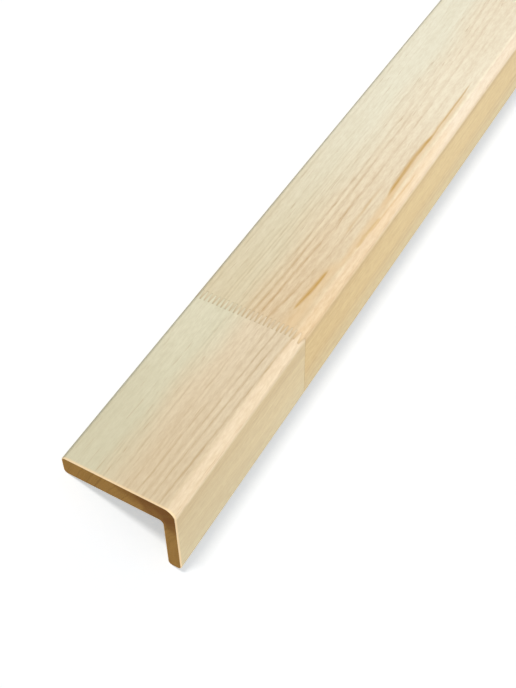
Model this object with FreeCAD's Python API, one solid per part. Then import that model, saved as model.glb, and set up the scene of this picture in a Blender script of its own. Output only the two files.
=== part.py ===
import FreeCAD, Part
import math
import os
from itertools import accumulate

from FreeCAD import Vector

# Section of the moulding, in millimetres
wide_leg = 40.0
narrow_leg = 32.0
wide_leg_thickness = 8.0
narrow_leg_thickness = 4.8
outer_corner_radius = 4.0
inner_corner_radius = 1.5
tip_radius = 1.6

# Finger joints, cut through the section across the wide leg
finger_length = 4.0
finger_pitch = 1.6
finger_end_width = 0.4
finger_end_gap = 0.15

# Lengths along the stock, from the front end
stock_length = 1220.0
first_block_length = 76.0
second_block_length = 390.0
third_block_length = 440.0

# How far the cutting outlines stand clear of the section
cut_margin = 2.0

# The section is drawn with its outer corner at the origin, the wide leg along +Y and the
# narrow leg along -Z. Lying unheld, the stock stands on its two tips with the corner up,
# so the line between the inner edges of the tips is level.
rest_angle = math.degrees(math.atan2(narrow_leg - wide_leg_thickness, wide_leg - narrow_leg_thickness))


def rounded_face(corners):
    # Each corner is a right angle, given as its point and its radius
    arcs = []
    for i, (corner, radius) in enumerate(corners):
        back = (corners[i - 1][0] - corner).normalize()
        ahead = (corners[(i + 1) % len(corners)][0] - corner).normalize()
        middle = corner + (back + ahead) * (radius * (1 - math.sqrt(0.5)))
        arcs.append((corner + back * radius, middle, corner + ahead * radius))
    edges = []
    for arc, following in zip(arcs, arcs[1:] + arcs[:1]):
        edges.append(Part.Arc(*arc).toShape())
        edges.append(Part.makeLine(arc[2], following[0]))
    return Part.Face(Part.Wire(edges))


def moulding_section():
    return rounded_face([
        (Vector(0, 0, 0), outer_corner_radius),
        (Vector(0, wide_leg, 0), tip_radius),
        (Vector(0, wide_leg, -wide_leg_thickness), tip_radius),
        (Vector(0, narrow_leg_thickness, -wide_leg_thickness), inner_corner_radius),
        (Vector(0, narrow_leg_thickness, -narrow_leg), tip_radius),
        (Vector(0, 0, -narrow_leg), tip_radius),
    ])


def square_end(x):
    return [Vector(x, -cut_margin, 0), Vector(x, wide_leg + cut_margin, 0)]


def finger_end(x, near_gap=0.0, far_gap=0.0):
    # The zigzag of a joint centred at x. The flanks of the two blocks are the same lines:
    # near_gap cuts back the fingers of the near block, far_gap those of the far block.
    lean = (finger_pitch / 2 - finger_end_width) / finger_length
    tip_x = x + finger_length / 2 - near_gap
    root_x = x - finger_length / 2 + far_gap
    half_tip = finger_end_width / 2 + lean * near_gap
    half_root = (finger_pitch - finger_end_width) / 2 - lean * far_gap
    points = []
    for i in range(-1, math.ceil(wide_leg / finger_pitch) + 2):
        middle = i * finger_pitch
        points.append(Vector(root_x, middle - half_root, 0))
        points.append(Vector(tip_x, middle - half_tip, 0))
        points.append(Vector(tip_x, middle + half_tip, 0))
        points.append(Vector(root_x, middle + half_root, 0))
    return points


def joint_places():
    # The last block is what is left of the stock, and a joint past its end falls away
    lengths = (first_block_length, second_block_length, third_block_length)
    return [x for x in accumulate(lengths) if x < stock_length - finger_length]


def make_block(start, end, start_outline, end_outline):
    bar = moulding_section()
    bar.translate(Vector(start - finger_length, 0, 0))
    bar = bar.extrude(Vector(end - start + 2 * finger_length, 0, 0))
    outline = start_outline + end_outline[::-1]
    plan = Part.Face(Part.makePolygon(outline + outline[:1]))
    plan.translate(Vector(0, 0, cut_margin))
    return bar.common(plan.extrude(Vector(0, 0, -narrow_leg - 2 * cut_margin)))


def make_blocks():
    joints = joint_places()
    starts = [0.0] + joints
    ends = joints + [stock_length]
    front_outlines = [square_end(0.0)]
    front_outlines += [finger_end(x, far_gap=finger_end_gap) for x in joints]
    back_outlines = [finger_end(x, near_gap=finger_end_gap) for x in joints]
    back_outlines.append(square_end(stock_length))
    return [make_block(*block) for block in zip(starts, ends, front_outlines, back_outlines)]


def lay_on_floor(shape):
    # Turns the shape to the way the stock rests, and centres the stock over the origin
    section = moulding_section()
    section.rotate(Vector(0, 0, 0), Vector(1, 0, 0), -rest_angle)
    box = section.optimalBoundingBox(False, False)
    shape.rotate(Vector(0, 0, 0), Vector(1, 0, 0), -rest_angle)
    shape.translate(Vector(-stock_length / 2, -(box.YMin + box.YMax) / 2, -box.ZMin))
    return shape


os.makedirs("parts", exist_ok=True)
for number, block in enumerate(make_blocks(), start=1):
    block = lay_on_floor(block)
    block.exportStep(f"parts/block_{number}.step")
    box = block.optimalBoundingBox(False, False)
    print(f"block_{number}: {len(block.Solids)} solid, {block.Volume / 1000:.2f} cm3, valid {block.isValid()},"
          f" x {box.XMin:.2f} to {box.XMax:.2f}, y {box.YMin:.3f} to {box.YMax:.3f},"
          f" z {box.ZMin:.3f} to {box.ZMax:.3f}")
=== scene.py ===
import math

import bmesh
import bpy
from mathutils import Euler, Matrix, Vector


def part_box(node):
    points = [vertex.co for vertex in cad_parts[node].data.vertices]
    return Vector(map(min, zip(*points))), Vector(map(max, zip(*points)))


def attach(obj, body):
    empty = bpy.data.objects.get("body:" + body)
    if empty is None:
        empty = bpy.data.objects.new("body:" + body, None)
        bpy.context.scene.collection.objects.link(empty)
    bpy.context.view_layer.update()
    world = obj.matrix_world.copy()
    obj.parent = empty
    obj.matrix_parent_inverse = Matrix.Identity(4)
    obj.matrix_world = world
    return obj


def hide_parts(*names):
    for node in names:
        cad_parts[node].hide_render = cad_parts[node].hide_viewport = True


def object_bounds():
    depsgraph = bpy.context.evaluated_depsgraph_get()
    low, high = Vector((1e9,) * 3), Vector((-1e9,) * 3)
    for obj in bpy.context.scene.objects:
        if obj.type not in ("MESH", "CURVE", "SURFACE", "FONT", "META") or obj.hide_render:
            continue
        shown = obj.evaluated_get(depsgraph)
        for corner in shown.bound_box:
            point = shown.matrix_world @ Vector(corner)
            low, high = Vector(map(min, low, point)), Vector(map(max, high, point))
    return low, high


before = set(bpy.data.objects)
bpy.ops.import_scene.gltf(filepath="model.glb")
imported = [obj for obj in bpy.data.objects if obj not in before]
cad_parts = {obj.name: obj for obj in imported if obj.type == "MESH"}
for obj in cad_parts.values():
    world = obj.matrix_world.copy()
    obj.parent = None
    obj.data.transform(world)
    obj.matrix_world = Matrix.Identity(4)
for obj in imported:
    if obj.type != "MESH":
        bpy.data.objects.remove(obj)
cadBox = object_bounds()
blockNames = sorted(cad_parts)
print("frame:", ", ".join(blockNames))

mm = 0.001

stock = {  # the planed section and its finger joints, in millimetres
    "wideLeg": 40.0,
    "narrowLeg": 32.0,
    "wideThickness": 8.0,
    "narrowThickness": 4.8,
    "outerRadius": 4.0,
    "innerRadius": 1.5,
    "tipRadius": 1.6,
    "roundSteps": 10,  # segments in each rounded corner
    "fingerLength": 4.0,
    "fingerPitch": 1.6,
    "fingerEnd": 0.4,
    "fingerGap": 0.15,
    "fingerZone": 9.0,  # how far from a joint the faces are split into fingers
    "sawnArris": 0.3,  # small round left along the sawn ends
    "arrisSteps": 2,
    "sharpAngle": 30.0,  # degrees
    "samePlane": 1e-4,  # a point this near to a plane counts as in it
    "cutMargin": 1e-5,
}

# where the section lies: it stands on its two tips, so the line under them is level
lieAngle = math.atan2(
    stock["narrowLeg"] - stock["wideThickness"], stock["wideLeg"] - stock["narrowThickness"])
lieCos, lieSin = math.cos(lieAngle), math.sin(lieAngle)
tipReach = stock["wideLeg"] - stock["tipRadius"]
tipDepth = stock["wideThickness"] - stock["tipRadius"]
cornerPlace = Vector((
    cadBox[0].x,
    cadBox[1].y - (tipReach * lieCos - stock["tipRadius"] * lieSin + stock["tipRadius"]) * mm,
    cadBox[0].z + (tipReach * lieSin + tipDepth * lieCos + stock["tipRadius"]) * mm,
))
lieTurn = Euler((-lieAngle, 0.0, 0.0))
stockToFrame = Matrix.LocRotScale(cornerPlace, lieTurn, Vector((mm, mm, mm)))

blockBoxes = [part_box(name) for name in blockNames]
stockLength = (cadBox[1].x - cadBox[0].x) / mm
jointPlaces = [  # middle of each finger joint, millimetres from the front end
    ((near[1].x + far[0].x) / 2 - cadBox[0].x) / mm for near, far in zip(blockBoxes, blockBoxes[1:])
]
print("joints at", [round(place, 2) for place in jointPlaces])


def inPlane(vert, x):
    return abs(vert.co.x - x) < stock["samePlane"]


def fingerReach(across):  # 0 in the valleys of the near block, 1 at its finger ends
    pitch = stock["fingerPitch"]
    off = abs(across - round(across / pitch) * pitch)
    valley = (pitch - stock["fingerEnd"]) / 2
    reach = (valley - off) / (valley - stock["fingerEnd"] / 2)
    return min(1.0, max(0.0, reach))


def splitFingers(bm, joint):  # cuts the faces near a joint along every kink of its zigzag
    pitch = stock["fingerPitch"]
    kinks = (stock["fingerEnd"] / 2, (pitch - stock["fingerEnd"]) / 2)
    count = math.ceil(stock["wideLeg"] / pitch)
    for i in range(count + 1):
        for kink in kinks:
            for side in (-1, 1):
                faces = [f for f in bm.faces if abs(f.calc_center_median().x - joint) < stock["fingerZone"]]
                # each edge and point once, in the same order every run
                edges = dict.fromkeys(e for f in faces for e in f.edges)
                verts = dict.fromkeys(v for f in faces for v in f.verts)
                bmesh.ops.bisect_plane(
                    bm, geom=[*faces, *edges, *verts], dist=stock["cutMargin"],
                    plane_co=(0.0, i * pitch + side * kink, 0.0), plane_no=(0.0, 1.0, 0.0))


def drawBar(start, end):  # the rounded section, drawn out along the stock
    bm = bmesh.new()
    leg, drop = stock["wideLeg"], -stock["narrowLeg"]
    inner, under = stock["narrowThickness"], -stock["wideThickness"]
    corners = [
        (0.0, 0.0, stock["outerRadius"]),
        (0.0, drop, stock["tipRadius"]),
        (inner, drop, stock["tipRadius"]),
        (inner, under, stock["innerRadius"]),
        (leg, under, stock["tipRadius"]),
        (leg, 0.0, stock["tipRadius"]),
    ]
    verts = [bm.verts.new((start, across, up)) for across, up, radius in corners]
    bm.faces.new(verts)
    for vert, (across, up, radius) in zip(verts, corners):
        bmesh.ops.bevel(bm, geom=[vert], offset=radius, offset_type="OFFSET", segments=stock["roundSteps"],
                        profile=0.5, affect="VERTICES", material=-1)
    grown = bmesh.ops.extrude_face_region(bm, geom=list(bm.faces), use_keep_orig=True)["geom"]
    moved = [g for g in grown if isinstance(g, bmesh.types.BMVert)]
    bmesh.ops.translate(bm, vec=(end - start, 0.0, 0.0), verts=moved)
    bmesh.ops.recalc_face_normals(bm, faces=bm.faces)
    return bm


def finishSawnEnd(bm, x):  # end grain on the face, and a small round along its rim
    for face in bm.faces:
        if all(inPlane(v, x) for v in face.verts):
            face.material_index = 1
    rim = [e for e in bm.edges if all(inPlane(v, x) for v in e.verts)]
    bmesh.ops.bevel(bm, geom=rim, offset=stock["sawnArris"], offset_type="OFFSET",
                    segments=stock["arrisSteps"], profile=0.5, affect="EDGES", material=0)


def cutFingers(bm, joint, far):  # far: the block is the far one of the two that meet here
    inward = 1.0 if far else -1.0
    bmesh.ops.bisect_plane(
        bm, geom=[*bm.faces, *bm.edges, *bm.verts], dist=stock["cutMargin"],
        plane_co=(joint + inward * stock["fingerZone"], 0.0, 0.0), plane_no=(1.0, 0.0, 0.0))
    splitFingers(bm, joint)
    travel = stock["fingerLength"] - stock["fingerGap"]
    for v in [v for v in bm.verts if inPlane(v, joint)]:
        reach = fingerReach(v.co.y)
        if far:
            v.co.x = joint + stock["fingerLength"] / 2 - (1.0 - reach) * travel
        else:
            v.co.x = joint - stock["fingerLength"] / 2 + reach * travel


def makeBlock(number):
    first, last = number == 0, number == len(blockNames) - 1
    start = 0.0 if first else jointPlaces[number - 1]
    end = stockLength if last else jointPlaces[number]
    bm = drawBar(start, end)
    if first:
        finishSawnEnd(bm, start)
    if last:
        finishSawnEnd(bm, end)
    if not first:
        cutFingers(bm, start, True)
    if not last:
        cutFingers(bm, end, False)
    bmesh.ops.transform(bm, matrix=stockToFrame, verts=bm.verts)
    for face in bm.faces:
        face.smooth = True
    mesh = bpy.data.meshes.new("pineBlock%d" % (number + 1))
    bm.to_mesh(mesh)
    bm.free()
    mesh.set_sharp_from_angle(angle=math.radians(stock["sharpAngle"]))
    piece = bpy.data.objects.new(mesh.name, mesh)
    bpy.context.scene.collection.objects.link(piece)
    evenNormals = piece.modifiers.new("evenNormals", "WEIGHTED_NORMAL")
    evenNormals.keep_sharp = True
    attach(piece, "root")
    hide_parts(blockNames[number])
    return piece


blocks = [makeBlock(number) for number in range(len(blockNames))]
print("blocks:", [(piece.name, len(piece.data.polygons)) for piece in blocks])


def seen(colour):  # a colour as it looks on screen, 0 to 255, made linear for a socket
    parts = [c / 255 for c in colour]
    return [((c + 0.055) / 1.055) ** 2.4 if c > 0.04045 else c / 12.92 for c in parts] + [1.0]


def wire(tree, value, socket):  # a link from another socket, or a fixed value
    if isinstance(value, bpy.types.NodeSocket):
        tree.links.new(value, socket)
    else:
        socket.default_value = value


def addNode(tree, kind, sockets, **settings):
    made = tree.nodes.new("ShaderNode" + kind)
    for name, value in settings.items():
        setattr(made, name, value)
    for name, value in sockets.items():
        wire(tree, value, made.inputs[name])
    return made


def calc(tree, operation, *values):
    return addNode(tree, "Math", dict(enumerate(values)), operation=operation).outputs[0]


def times(tree, product, *factors):
    for factor in factors:
        product = calc(tree, "MULTIPLY", product, factor)
    return product


def ease(tree, value, low, high, start=0.0, end=1.0):  # smooth step from start to end between low and high
    sockets = {"Value": value, "From Min": low, "From Max": high, "To Min": start, "To Max": end}
    return addNode(tree, "MapRange", sockets, interpolation_type="SMOOTHSTEP").outputs[0]


def band(tree, value, start, full, stay, end):  # rises from start to full, falls from stay to end
    return times(tree, ease(tree, value, start, full), ease(tree, value, stay, end, 1.0, 0.0))


def tint(tree, factor, under, over):
    return addNode(tree, "Mix", {0: factor, 6: under, 7: over}, data_type="RGBA").outputs[2]


def noise(tree, place, scale, seed, detail=2.0, roughness=0.5):  # runs from about -1 to 1
    along, across = scale  # per millimetre
    scaled = addNode(tree, "VectorMath", {0: place, 1: (along, across, across)}, operation="MULTIPLY")
    sockets = {"Vector": scaled.outputs[0], "W": seed, "Scale": 1.0, "Detail": detail, "Roughness": roughness}
    grain = addNode(tree, "TexNoise", sockets, noise_dimensions="4D").outputs[0]
    return ease(tree, grain, 0.2, 0.8, -1.0, 1.0)


def newGroup(name, inputs, outputs):  # every socket is a number, apart from the place
    group = bpy.data.node_groups.new(name, "ShaderNodeTree")
    for side, sockets in (("INPUT", inputs), ("OUTPUT", outputs)):
        for socket in sockets:
            kind = "NodeSocketVector" if socket == "Place" else "NodeSocketFloat"
            group.interface.new_socket(socket, in_out=side, socket_type=kind)
    return group, group.nodes.new("NodeGroupInput").outputs, group.nodes.new("NodeGroupOutput").inputs


def placeGroup(tree, group, values):
    made = tree.nodes.new("ShaderNodeGroup")
    made.node_tree = group
    for name, value in values.items():
        wire(tree, value, made.inputs[name])
    return made.outputs


placeSockets = ("Place", "Along", "Across", "Depth")


def makeStockPlace():  # place on the stock in millimetres: along it, across the wide leg, down from its face
    group, _, out = newGroup("stockPlace", (), placeSockets)
    where = addNode(group, "TexCoord", {}).outputs["Object"]
    turned = addNode(group, "Mapping", {
        "Vector": where, "Location": cornerPlace, "Rotation": lieTurn, "Scale": (mm, mm, mm),
    }, vector_type="TEXTURE").outputs[0]
    parts = addNode(group, "SeparateXYZ", {0: turned}).outputs
    wire(group, turned, out["Place"])
    wire(group, parts["X"], out["Along"])
    wire(group, parts["Y"], out["Across"])
    wire(group, times(group, parts["Z"], -1.0), out["Depth"])
    return group


ringLook = {  # noise scales along and across
    "drift": (0.011, 0.02),  # the pith wanders
    "driftDetail": 1.5,
    "ripple": (0.03, 0.25),
    "rippleDetail": 3.0,
    "rippleDepth": 0.4,  # millimetres
    "pace": 0.37,  # some years are wider than others
    "paceDepth": 1.6,
    "lateStart": 0.4,  # parts of a year
    "latePeak": 0.86,
    "faintest": 0.2,  # the palest ring, next to the darkest
}


def makePineRings():  # yearly rings round a pith that runs nearly along the block
    group, given, out = newGroup("pineRings", placeSockets + (
        "Pith Across", "Pith Depth", "Lean", "Bow", "Bow At", "Sway", "Ring Width", "Crowd", "Seed",
    ), ("Late",))
    drift = noise(group, given["Place"], ringLook["drift"], given["Seed"], ringLook["driftDetail"])
    lean = times(group, given["Along"], given["Lean"])
    bow = calc(group, "POWER", calc(group, "SUBTRACT", given["Along"], given["Bow At"]), 2.0)
    aside = calc(group, "MULTIPLY_ADD", bow, given["Bow"], lean)
    aside = calc(group, "MULTIPLY_ADD", drift, given["Sway"], aside)
    sideways = calc(group, "SUBTRACT", calc(group, "SUBTRACT", given["Across"], given["Pith Across"]), aside)
    inward = calc(group, "SUBTRACT", given["Depth"], given["Pith Depth"])
    squares = calc(group, "MULTIPLY_ADD", sideways, sideways, calc(group, "POWER", inward, 2.0))
    ripple = noise(group, given["Place"], ringLook["ripple"], given["Seed"], ringLook["rippleDetail"])
    radius = calc(group, "MULTIPLY_ADD", ripple, ringLook["rippleDepth"], calc(group, "SQRT", squares))
    outside = calc(group, "SUBTRACT", radius, calc(group, "ABSOLUTE", given["Pith Depth"]))
    crowded = calc(group, "POWER", calc(group, "MAXIMUM", outside, 0.0), 2.0)  # rings get closer outwards
    years = calc(group, "MULTIPLY_ADD", crowded, given["Crowd"], outside)
    years = calc(group, "DIVIDE", years, given["Ring Width"])
    pacePlace = calc(group, "MULTIPLY_ADD", years, ringLook["pace"], given["Seed"])
    pace = addNode(group, "TexNoise", {"W": pacePlace}, noise_dimensions="1D").outputs[0]
    years = calc(group, "MULTIPLY_ADD", pace, ringLook["paceDepth"], years)
    year = calc(group, "FLOOR", years)
    season = calc(group, "SUBTRACT", years, year)
    tonePlace = calc(group, "ADD", year, given["Seed"])
    tone = addNode(group, "TexWhiteNoise", {"W": tonePlace}, noise_dimensions="1D").outputs[0]
    late = band(group, season, ringLook["lateStart"], ringLook["latePeak"], ringLook["latePeak"], 1.0)
    late = times(group, late, ease(group, tone, 0.0, 1.0, ringLook["faintest"], 1.0))
    wire(group, late, out["Late"])
    return group


fibreLook = {  # noise scales along and across
    "fine": (0.28, 1.2),
    "fineDetail": 3.0,
    "fineRoughness": 0.7,
    "fineShare": 0.65,
    "broad": (0.02, 0.5),
    "broadShare": 0.35,
    "duct": (0.16, 2.2),
    "ductDetail": 0.0,
    "ductFrom": (0.62, 0.9),  # only the peaks of the noise are ducts
    "mottle": (0.015, 0.05),
}


def makePineFibre():  # fine straight fibres, short resin ducts and a slow mottle
    group, given, out = newGroup("pineFibre", ("Place", "Seed"), ("Fibre", "Duct", "Mottle"))
    where, seed = given["Place"], given["Seed"]
    fine = noise(group, where, fibreLook["fine"], seed, fibreLook["fineDetail"], fibreLook["fineRoughness"])
    fine = times(group, fine, fibreLook["fineShare"])
    broad = times(group, noise(group, where, fibreLook["broad"], seed), fibreLook["broadShare"])
    dashes = noise(group, where, fibreLook["duct"], seed, fibreLook["ductDetail"])
    wire(group, calc(group, "ADD", fine, broad), out["Fibre"])
    wire(group, ease(group, dashes, *fibreLook["ductFrom"]), out["Duct"])
    wire(group, noise(group, where, fibreLook["mottle"], seed), out["Mottle"])
    return group


markLook = {  # noise scales along and across
    "shake": (0.05, 0.1),  # how it strays from its bow
    "shakeDetail": 4.0,
    "shakeRoughness": 0.6,
    "shakeDepth": 0.3,  # millimetres
    "thinnest": 0.02,  # part of its width that is left at its ends
    "body": (-0.7, 0.0, 0.0, 1.0),  # in widths from its middle: sharper towards the corner
    "paleMiddle": 0.1,
    "pale": (0.8, 1.2, 1.2, 2.2),
    "wane": (0.05, 0.7),  # it comes and goes
    "waneDetail": 4.0,
    "waneRoughness": 0.75,
    "waneFrom": (-0.4, 0.5),
    "ends": (0.02, 0.5),
    "overCorner": (1.5, 4.0),  # depth at which it fades
}


def makeGrainMark():  # one line of dark grain or pitch on the face of the wide leg, bowed between two ends
    group, given, out = newGroup("grainMark", placeSockets + (
        "Start", "End", "Across Start", "Across End", "Bow", "Width", "Wane", "Seed",
    ), ("Mark", "Pale"))
    run = calc(group, "SUBTRACT", given["End"], given["Start"])
    part = calc(group, "DIVIDE", calc(group, "SUBTRACT", given["Along"], given["Start"]), run)
    part = calc(group, "MINIMUM", calc(group, "MAXIMUM", part, 0.0), 1.0)
    swell = times(group, part, calc(group, "SUBTRACT", 1.0, part), 4.0)  # 0 at the ends, 1 half way
    fall = calc(group, "SUBTRACT", given["Across End"], given["Across Start"])
    middle = calc(group, "MULTIPLY_ADD", part, fall, given["Across Start"])
    middle = calc(group, "MULTIPLY_ADD", swell, given["Bow"], middle)
    shake = noise(group, given["Place"], markLook["shake"], given["Seed"],
                  markLook["shakeDetail"], markLook["shakeRoughness"])
    middle = calc(group, "MULTIPLY_ADD", shake, markLook["shakeDepth"], middle)
    off = calc(group, "SUBTRACT", given["Across"], middle)
    reach = times(group, given["Width"], calc(group, "ADD", calc(group, "SQRT", swell), markLook["thinnest"]))
    off = calc(group, "DIVIDE", off, reach)
    body = band(group, off, *markLook["body"])
    beside = calc(group, "ABSOLUTE", calc(group, "SUBTRACT", off, markLook["paleMiddle"]))
    beside = band(group, beside, *markLook["pale"])
    wane = noise(group, given["Place"], markLook["wane"], given["Seed"],
                 markLook["waneDetail"], markLook["waneRoughness"])
    wane = times(group, ease(group, wane, *markLook["waneFrom"], 1.0, 0.0), given["Wane"])
    here = times(group, ease(group, swell, *markLook["ends"]), calc(group, "SUBTRACT", 1.0, wane),
                 ease(group, given["Depth"], *markLook["overCorner"], 1.0, 0.0))
    wire(group, times(group, body, here), out["Mark"])
    wire(group, times(group, beside, here), out["Pale"])
    return group


seamLook = {  # millimetres
    "width": 0.22,
    "soft": 0.1,  # how gently it stops at the finger ends
}


def makeFingerSeam():  # glue lines along the flanks of a finger joint, and the finger ends of its far block
    group, given, out = newGroup("fingerSeam", ("Along", "Across", "Joint"), ("Seam", "Ends"))
    half = stock["fingerLength"] / 2
    lean = (stock["fingerPitch"] / 2 - stock["fingerEnd"]) / stock["fingerLength"]
    past = calc(group, "SUBTRACT", given["Along"], given["Joint"])
    off = calc(group, "PINGPONG", given["Across"], stock["fingerPitch"] / 2)
    flank = calc(group, "SUBTRACT", stock["fingerPitch"] / 4, times(group, past, lean))
    near = calc(group, "ABSOLUTE", calc(group, "SUBTRACT", off, flank))
    soft = seamLook["soft"]
    inside = ease(group, calc(group, "ABSOLUTE", past), half - soft, half + soft, 1.0, 0.0)
    wire(group, times(group, ease(group, near, 0.0, seamLook["width"], 1.0, 0.0), inside), out["Seam"])
    wire(group, ease(group, past, -half, half, 1.0, 0.0), out["Ends"])
    return group


stockPlace = makeStockPlace()
pineRings = makePineRings()
pineFibre = makePineFibre()
fingerSeam = makeFingerSeam()
grainMark = makeGrainMark()

plainPine = {  # what the two far blocks share
    "crowd": 0.01, "ringDepth": 0.65, "faceRings": 1.0,
    # the corner colours are a painted highlight along the rounded corner
    "corner": ((224, 206, 176), (224, 206, 176)), "highlightSide": ((239, 220, 188), (239, 220, 188)),
    "lineDepth": (0.0, 0.0), "fibreDepth": (0.35, 0.35), "under": (0.2, 4.6, 9.0),
    "lines": [], "glows": [], "streaks": [],
}

# One dictionary for each block, front to far, in millimetres, with colours as they look on screen.
# Pairs of colours and depths go from the first to the second over the reach along the stock; the lightening
# of the first two blocks' colours towards their far ends is painted light.
pine = [
    {
        "pithAcross": -15.0, "pithDepth": 25.0, "lean": -0.03, "bow": 0.0, "bowAt": 0.0, "sway": 0.8,
        "ringWidth": 2.9, "crowd": 0.027, "seed": 3.1, "ringDepth": 0.5, "faceRings": 0.3,
        "reach": (5.0, 72.0),
        "face": ((221, 203, 171), (232, 216, 187)), "tip": ((214, 207, 178), (227, 221, 194)),
        "side": ((221, 204, 164), (230, 211, 169)), "late": (192, 164, 124), "tipLate": (194, 184, 150),
        # the corner colours are a painted highlight along the rounded corner
        "corner": ((225, 207, 179), (232, 213, 185)), "highlightSide": ((238, 218, 186), (240, 221, 190)),
        "lineDepth": (1.0, 1.0), "fibreDepth": (0.4, 0.4),
        "under": (0.35, 6.0, 13.0),  # strength of the band under the corner, and the depths where it fades
        "lines": [  # start, end, across at each, bow, width, strength; so are glows and streaks
            (-40.0, 120.0, 26.6, 25.8, 0.0, 0.5, 0.35),
            (-40.0, 120.0, 25.4, 24.4, 0.0, 0.5, 0.35),
            (-40.0, 120.0, 21.6, 20.2, 0.0, 0.6, 0.5),
            (-40.0, 120.0, 17.2, 15.0, 0.0, 0.5, 0.35),
            (-40.0, 120.0, 15.0, 9.5, 0.0, 0.65, 0.55),
            (-40.0, 120.0, 12.8, 6.9, 0.0, 0.65, 0.6),
            (-40.0, 120.0, 10.9, 3.7, 0.0, 0.75, 0.8),
            (-40.0, 120.0, 7.6, 0.7, 0.0, 0.75, 0.8),
        ],
        "glows": [],
        "streaks": [],
    },
    {
        "pithAcross": -2.75, "pithDepth": 31.0, "lean": 0.0, "bow": 0.00023, "bowAt": 180.0, "sway": 0.8,
        "ringWidth": 2.3, "crowd": 0.042, "seed": 7.7, "ringDepth": 0.55, "faceRings": 0.25,
        "reach": (52.0, 224.0),
        "face": ((229, 208, 172), (245, 235, 210)), "tip": ((222, 209, 177), (240, 235, 213)),
        "side": ((229, 204, 151), (236, 212, 161)), "late": (190, 152, 104), "tipLate": (198, 180, 141),
        # the corner colours are a painted highlight along the rounded corner
        "corner": ((226, 201, 164), (233, 218, 196)), "highlightSide": ((235, 209, 167), (240, 222, 195)),
        "lineDepth": (1.0, 0.4), "fibreDepth": (0.4, 0.27),
        "under": (0.35, 4.6, 7.5),
        "lines": [
            (20.0, 320.0, 25.7, 27.1, -6.6, 1.0, 0.6),
            (20.0, 320.0, 23.1, 24.2, -6.2, 1.0, 0.75),
            (20.0, 320.0, 21.9, 19.0, -6.9, 1.0, 0.75),
            (40.0, 170.0, 20.3, 6.7, -2.8, 1.0, 0.6),
            (100.0, 330.0, 10.8, 12.0, -1.5, 0.8, 0.4),
            (20.0, 400.0, 37.2, 37.0, 0.0, 0.7, 0.5),
            (50.0, 200.0, 31.5, 28.8, 0.0, 0.6, 0.5),
            (50.0, 230.0, 30.3, 27.0, 0.0, 0.6, 0.55),
            (50.0, 200.0, 29.0, 26.3, 0.0, 0.6, 0.5),
            (50.0, 260.0, 27.0, 23.2, 0.0, 0.6, 0.55),
            (50.0, 230.0, 25.6, 22.4, 0.0, 0.6, 0.5),
        ],
        "glows": [
            (46.0, 116.0, 6.4, 5.4, 0.0, 5.0, 0.5),
            (104.0, 164.0, 4.0, 4.4, 0.0, 2.6, 0.5),
            (138.0, 222.0, 4.6, 4.2, 0.2, 2.6, 0.5),
            (124.0, 200.0, 1.8, 1.8, 0.0, 3.4, 0.24),
        ],
        "streaks": [
            (84.0, 107.0, 8.2, 6.4, 0.0, 1.4, 1.0),
            (147.0, 190.0, 5.2, 5.0, 1.0, 1.7, 1.0),
            (172.0, 226.0, 5.5, 5.4, 0.0, 0.9, 0.7),
            (119.0, 139.0, 3.3, 2.9, 0.0, 1.4, 0.6),
            (122.0, 154.0, 9.6, 9.4, 0.0, 1.0, 0.4),
            (129.0, 147.0, 0.6, 0.5, 0.0, 0.7, 0.2),
            (130.0, 168.0, 2.5, 1.9, 0.0, 0.6, 0.4),
        ],
    },
    {
        **plainPine,
        "pithAcross": 60.0, "pithDepth": 45.0, "lean": 0.012, "bow": 0.00002, "bowAt": 700.0, "sway": 2.0,
        "ringWidth": 2.2, "seed": 12.4, "reach": (470.0, 900.0),
        "face": ((232, 213, 178), (234, 217, 184)), "tip": ((228, 214, 180), (230, 218, 188)),
        "side": ((226, 205, 162), (228, 208, 166)), "late": (202, 171, 124), "tipLate": (203, 184, 142),
    },
    {
        **plainPine,
        "pithAcross": 16.0, "pithDepth": -38.0, "lean": -0.016, "bow": 0.0, "bowAt": 0.0, "sway": 2.6,
        "ringWidth": 2.4, "seed": 21.9, "reach": (910.0, 1215.0),
        "face": ((234, 216, 182), (231, 212, 177)), "tip": ((229, 216, 182), (226, 212, 178)),
        "side": ((228, 207, 165), (225, 204, 161)), "late": (204, 173, 126), "tipLate": (204, 186, 146),
    },
]

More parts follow.
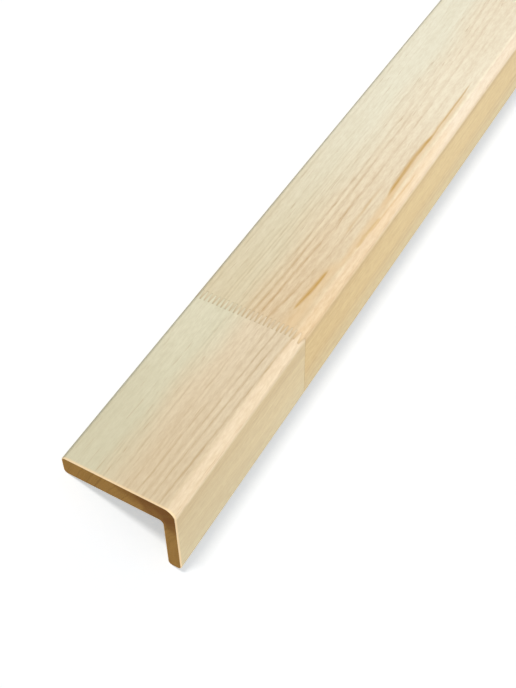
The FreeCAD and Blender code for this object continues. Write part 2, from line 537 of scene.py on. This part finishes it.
# Planed and sanded bare wood. Most pairs of numbers are millimetres across the wide leg or down from its
# face, between which an effect comes or goes.
finish = {
    "tipFrom": (16.0, 30.0),  # across, where the face takes the tip's colour
    "tipWander": 4.0,
    "sideFrom": (3.0, 4.2),
    "foot": (224, 212, 175),  # paler towards the edge of the narrow leg
    "footFrom": (18.0, 28.0),
    "footDepth": 0.5,
    "underCorner": (206, 178, 132),  # browner band on the narrow leg, under the rounded corner
    "underFrom": (3.6, 5.0),
    "underAcross": (2.0, 4.0),
    "cornerTurn": (0.0, 3.6),  # depth less across, which grows round the corner
    "cornerHighlight": (-2.8, -2.1, 2.8, 5.0),  # the same, where the painted highlight lies along the rounded corner
    "cornerHighlightDepth": 0.85,
    "edge": (176, 172, 148),  # painted shade along the edge of the wide leg, where its rounded tip turns away from the light
    "edgeShadeFrom": (38.2, 39.2),
    "edgeShadeDown": (0.6, 1.4),
    "edgeShadeDepth": 0.5,
    "ringsFrom": (1.0, 4.0),  # from the rings of the face to those of the narrow leg
    "sideRings": 0.4,
    "fibreRange": (-0.8, 0.8),  # of the fibre noise
    "pale": (250, 234, 202),  # first wood of a year, beside a dark line
    "paleDepth": 0.2,
    "glow": (230, 196, 146),  # wood warmed by pitch
    "resin": (200, 158, 88),
    "lineWane": 0.75,  # how much of a mark comes and goes
    "glowWane": 0.0,
    "streakWane": 0.3,
    "markSeedStep": 3.7,
    "duct": (178, 138, 88),
    "ductDepth": 0.35,
    "seam": (190, 164, 124),
    "seamDepth": 0.3,
    "fingerDepth": 0.5,
    "arrisHighlight": (244, 214, 168),  # painted highlight round the sawn ends, where their small round catches light
    "arrisHighlightFrom": (0.2, 0.9),  # from the end
    "arrisHighlightDepth": 0.85,
    "rough": 0.44,
    "fibreRough": 0.05,
    "lateSmooth": 0.06,
    "specular": 0.3,
    "bump": 0.05,  # millimetres
    "bumpStrength": 0.35,
    "lateHeight": 0.6,
}


def startMaterial(name):
    material = bpy.data.materials.new(name)
    material.use_nodes = True
    return material, material.node_tree, material.node_tree.nodes["Principled BSDF"]


def placeRings(tree, place, values):
    return placeGroup(tree, pineRings, {
        **{name: place[name] for name in placeSockets},
        "Pith Across": values["pithAcross"], "Pith Depth": values["pithDepth"], "Lean": values["lean"],
        "Bow": values["bow"], "Bow At": values["bowAt"], "Sway": values["sway"],
        "Ring Width": values["ringWidth"], "Crowd": values["crowd"], "Seed": values["seed"]})


def colourWood(tree, place, mottle, far, values):  # early and late wood, by where on the section it is
    across, depth = place["Across"], place["Depth"]
    face, tip, side, corner, highlightSide = [
        tint(tree, far, *[seen(colour) for colour in values[part]])
        for part in ("face", "tip", "side", "corner", "highlightSide")]
    tipward = calc(tree, "ADD", across, times(tree, mottle, finish["tipWander"]))
    atTip = ease(tree, tipward, *finish["tipFrom"])
    early = tint(tree, ease(tree, depth, *finish["sideFrom"]), tint(tree, atTip, face, tip), side)
    foot = ease(tree, depth, *finish["footFrom"], 0.0, finish["footDepth"])
    early = tint(tree, foot, early, seen(finish["foot"]))
    underDepth, *underFade = values["under"]
    under = band(tree, depth, *finish["underFrom"], *underFade)
    under = times(tree, under, ease(tree, across, *finish["underAcross"], underDepth, 0.0))
    early = tint(tree, under, early, seen(finish["underCorner"]))
    # Painted highlight: a pale band in the corner colours, laid over the rounded corner where light falls on
    # it most.
    turn = calc(tree, "SUBTRACT", depth, across)
    corner = tint(tree, ease(tree, turn, *finish["cornerTurn"]), corner, highlightSide)
    cornerHighlight = times(tree, band(tree, turn, *finish["cornerHighlight"]), finish["cornerHighlightDepth"])
    early = tint(tree, cornerHighlight, early, corner)
    # painted shade along the rounded tip of the wide leg
    edge = ease(tree, depth, *finish["edgeShadeDown"], finish["edgeShadeDepth"], 0.0)
    edge = times(tree, ease(tree, across, *finish["edgeShadeFrom"]), edge)
    early = tint(tree, edge, early, seen(finish["edge"]))
    late = tint(tree, atTip, seen(values["late"]), seen(values["tipLate"]))
    return early, late


def drawMarks(tree, place, colour, late, far, values):  # grain lines, wood warmed by pitch, pitch streaks
    lineDepth = ease(tree, far, 0.0, 1.0, *values["lineDepth"])
    marks = [(mark, late, lineDepth, finish["lineWane"]) for mark in values["lines"]]
    marks += [(mark, seen(finish["glow"]), 1.0, finish["glowWane"]) for mark in values["glows"]]
    marks += [(mark, seen(finish["resin"]), 1.0, finish["streakWane"]) for mark in values["streaks"]]
    for i, (shape, tone, depthHere, wane) in enumerate(marks):
        start, end, acrossStart, acrossEnd, bow, width, strength = shape
        mark = placeGroup(tree, grainMark, {
            **{name: place[name] for name in placeSockets},
            "Start": start, "End": end, "Across Start": acrossStart, "Across End": acrossEnd,
            "Bow": bow, "Width": width, "Wane": wane, "Seed": i * finish["markSeedStep"]})
        colour = tint(tree, times(tree, mark["Mark"], strength, depthHere), colour, tone)
        if tone is late:
            pale = times(tree, mark["Pale"], strength * finish["paleDepth"], depthHere)
            colour = tint(tree, pale, colour, seen(finish["pale"]))
    return colour


def drawSeams(tree, place, colour, number):  # the joints at the two ends of a block
    for i, joint in enumerate(jointPlaces):
        if i not in (number - 1, number):
            continue
        seam = placeGroup(tree, fingerSeam, {
            "Along": place["Along"], "Across": place["Across"], "Joint": joint})
        mark = times(tree, seam["Seam"], finish["seamDepth"])
        if i == number - 1:  # the finger ends of the far block look darker
            mark = calc(tree, "MAXIMUM", mark, times(tree, seam["Ends"], finish["fingerDepth"]))
        colour = tint(tree, mark, colour, seen(finish["seam"]))
    return colour


def makePineMaterial(number):
    values = pine[number]
    material, tree, shader = startMaterial("planedPine%d" % (number + 1))
    place = placeGroup(tree, stockPlace, {})
    along, depth = place["Along"], place["Depth"]
    rings = placeRings(tree, place, values)
    fibre = placeGroup(tree, pineFibre, {"Place": place["Place"], "Seed": values["seed"]})
    # far carries painted light: the colours lighten towards the far end of each block
    far = ease(tree, along, *values["reach"])

    early, late = colourWood(tree, place, fibre["Mottle"], far, values)
    faceRings = values["ringDepth"] * values["faceRings"]
    sideRings = values["ringDepth"] * finish["sideRings"]
    ringDepth = ease(tree, depth, *finish["ringsFrom"], faceRings, sideRings)
    colour = tint(tree, times(tree, rings["Late"], ringDepth), early, late)
    fibreDepth = ease(tree, far, 0.0, 1.0, *values["fibreDepth"])
    fibres = times(tree, ease(tree, fibre["Fibre"], *finish["fibreRange"]), fibreDepth)
    colour = tint(tree, fibres, colour, late)
    colour = drawMarks(tree, place, colour, late, far, values)
    ducts = times(tree, fibre["Duct"], rings["Late"], finish["ductDepth"])
    colour = tint(tree, ducts, colour, seen(finish["duct"]))
    colour = drawSeams(tree, place, colour, number)
    # painted highlight along the rims of the sawn ends
    fromEnd = calc(tree, "MINIMUM", along, calc(tree, "SUBTRACT", stockLength, along))
    arrisHighlight = ease(tree, fromEnd, *finish["arrisHighlightFrom"], finish["arrisHighlightDepth"], 0.0)
    colour = tint(tree, arrisHighlight, colour, seen(finish["arrisHighlight"]))

    wire(tree, colour, shader.inputs["Base Color"])
    rough = calc(tree, "ADD", finish["rough"], times(tree, fibre["Fibre"], finish["fibreRough"]))
    rough = calc(tree, "SUBTRACT", rough, times(tree, rings["Late"], finish["lateSmooth"]))
    wire(tree, rough, shader.inputs["Roughness"])
    shader.inputs["Specular IOR Level"].default_value = finish["specular"]
    height = calc(tree, "ADD", fibre["Fibre"], times(tree, rings["Late"], finish["lateHeight"]))
    bump = addNode(tree, "Bump", {
        "Strength": finish["bumpStrength"], "Distance": finish["bump"] * mm, "Height": height})
    wire(tree, bump.outputs[0], shader.inputs["Normal"])
    return material


endGrain = {
    "early": (164, 124, 64),
    "late": (132, 97, 47),
    "lateDepth": 0.6,
    "corner": (125, 83, 39),  # darker and redder towards the corner
    "cornerFade": (10.0, 27.0),  # millimetres
    "cornerDown": 1.6,  # it fades faster down the narrow leg
    "cornerWander": 4.0,
    "blotch": (0.0, 0.22),  # noise scales along and across
    "cells": (0.0, 5.0),
    "cellDetail": 3.0,
    "cellRoughness": 0.7,
    "pore": (107, 76, 37),
    "poreFrom": (0.1, 0.9),
    "poreDepth": 0.5,
    "sawPitch": 0.9,  # millimetres
    "sawLean": 0.35,
    "sawHeight": 0.3,
    "rough": 0.75,
    "cellRough": 0.08,
    "specular": 0.1,
    "bump": 0.06,  # millimetres
    "bumpStrength": 0.5,
}


def makeEndGrain(number):
    values = pine[number]
    material, tree, shader = startMaterial("sawnEnd%d" % (number + 1))
    place = placeGroup(tree, stockPlace, {})
    across, depth = place["Across"], place["Depth"]
    rings = placeRings(tree, place, values)
    cells = noise(tree, place["Place"], endGrain["cells"], values["seed"],
                  endGrain["cellDetail"], endGrain["cellRoughness"])
    blotch = noise(tree, place["Place"], endGrain["blotch"], values["seed"])
    fromCorner = calc(tree, "MULTIPLY_ADD", depth, endGrain["cornerDown"], across)
    fromCorner = calc(tree, "MULTIPLY_ADD", blotch, endGrain["cornerWander"], fromCorner)
    inCorner = ease(tree, fromCorner, *endGrain["cornerFade"], 1.0, 0.0)
    colour = tint(tree, inCorner, seen(endGrain["early"]), seen(endGrain["corner"]))
    colour = tint(tree, times(tree, rings["Late"], endGrain["lateDepth"]), colour, seen(endGrain["late"]))
    pores = ease(tree, cells, *endGrain["poreFrom"], 0.0, endGrain["poreDepth"])
    colour = tint(tree, pores, colour, seen(endGrain["pore"]))
    saw = calc(tree, "ADD", across, times(tree, depth, endGrain["sawLean"]))
    saw = calc(tree, "SINE", times(tree, saw, 2 * math.pi / endGrain["sawPitch"]))
    wire(tree, colour, shader.inputs["Base Color"])
    rough = calc(tree, "ADD", endGrain["rough"], times(tree, cells, endGrain["cellRough"]))
    wire(tree, rough, shader.inputs["Roughness"])
    shader.inputs["Specular IOR Level"].default_value = endGrain["specular"]
    height = calc(tree, "ADD", cells, times(tree, saw, endGrain["sawHeight"]))
    bump = addNode(tree, "Bump", {
        "Strength": endGrain["bumpStrength"], "Distance": endGrain["bump"] * mm, "Height": height})
    wire(tree, bump.outputs[0], shader.inputs["Normal"])
    return material


for number, piece in enumerate(blocks):
    piece.data.materials.append(makePineMaterial(number))
    if number in (0, len(blocks) - 1):
        piece.data.materials.append(makeEndGrain(number))
print("materials:", [m.name for piece in blocks for m in piece.data.materials])

studio = {
    "floorSize": 30.0,  # metres
    "floorTone": 0.85,  # for the light that bounces off it
    "floorSeen": 1.0,  # for the camera
    "floorLift": 0.475,  # light that the camera alone sees, so that the bare floor is white
    "liftTint": (0.925, 0.962, 1.0, 1.0),
    "dome": 0.27,
    "domeTint": (0.93, 0.965, 1.0, 1.0),
    "domeSeen": 1.0,  # for the camera, plain white
    "sunTint": (1.0, 0.985, 0.965),
    "suns": {  # strength, softness in degrees, where it comes from, whether it lights the floor too
        "keySun": (1.3, 9.0, (-0.2, 0.575, 0.72), True),
        "topSun": (2.03, 50.0, (-0.35, -0.35, 0.87), False),
        "rightSun": (0.91, 40.0, (-0.6, -0.6, 0.5), False),
    },
}


def makeFloor():
    bm = bmesh.new()
    bmesh.ops.create_grid(bm, x_segments=1, y_segments=1, size=studio["floorSize"] / 2)
    mesh = bpy.data.meshes.new("floor")
    bm.to_mesh(mesh)
    bm.free()
    floor = bpy.data.objects.new("floor", mesh)
    bpy.context.scene.collection.objects.link(floor)
    material, tree, shader = startMaterial("paleFloor")
    shader.inputs["Roughness"].default_value = 1.0
    shader.inputs["Specular IOR Level"].default_value = 0.0
    ray = addNode(tree, "LightPath", {}).outputs["Is Camera Ray"]
    plain, inView = studio["floorTone"], studio["floorSeen"]
    tone = tint(tree, ray, (plain, plain, plain, 1.0), (inView, inView, inView, 1.0))
    wire(tree, tone, shader.inputs["Base Color"])
    glow = addNode(tree, "Emission", {
        "Color": studio["liftTint"], "Strength": times(tree, ray, studio["floorLift"])})
    both = addNode(tree, "AddShader", {0: shader.outputs[0], 1: glow.outputs[0]})
    wire(tree, both.outputs[0], tree.nodes["Material Output"].inputs["Surface"])
    mesh.materials.append(material)


def makeDome():
    world = bpy.data.worlds.new("studio")
    world.use_nodes = True
    tree = world.node_tree
    sky = tree.nodes["Background"]
    ray = addNode(tree, "LightPath", {}).outputs["Is Camera Ray"]
    wire(tree, tint(tree, ray, studio["domeTint"], (1.0, 1.0, 1.0, 1.0)), sky.inputs["Color"])
    strength = addNode(tree, "Mix", {0: ray, 2: studio["dome"], 3: studio["domeSeen"]}).outputs[0]
    wire(tree, strength, sky.inputs["Strength"])
    bpy.context.scene.world = world


def makeSuns():
    stockOnly = bpy.data.collections.new("stockOnly")
    for piece in blocks:
        stockOnly.objects.link(piece)
    for name, (strength, softness, comesFrom, onFloor) in studio["suns"].items():
        lamp = bpy.data.lights.new(name, "SUN")
        lamp.energy = strength
        lamp.color = studio["sunTint"]
        lamp.angle = math.radians(softness)
        sun = bpy.data.objects.new(name, lamp)
        sun.rotation_euler = Vector(comesFrom).to_track_quat("Z", "Y").to_euler()
        bpy.context.scene.collection.objects.link(sun)
        if not onFloor:
            sun.light_linking.receiver_collection = stockOnly


makeFloor()
makeDome()
makeSuns()
print("studio:", ", ".join(studio["suns"]))

view = {
    "lens": 61.206,
    "sensor": 36.0,
    "clip": (0.01, 100.0),  # metres
    "place": (-750.525, 59.185, 326.687),  # millimetres
    "turn": (21.6229, -28.4872, -55.2762),  # degrees
}
cameraData = bpy.data.cameras.new("camera")
cameraData.lens = view["lens"]
cameraData.sensor_width = view["sensor"]
cameraData.clip_start, cameraData.clip_end = view["clip"]
camera = bpy.data.objects.new("camera", cameraData)
camera.location = Vector(view["place"]) * mm
camera.rotation_euler = Euler([math.radians(a) for a in view["turn"]])
bpy.context.scene.collection.objects.link(camera)
bpy.context.scene.camera = camera
bpy.context.scene.view_settings.view_transform = "Standard"
print("camera set")
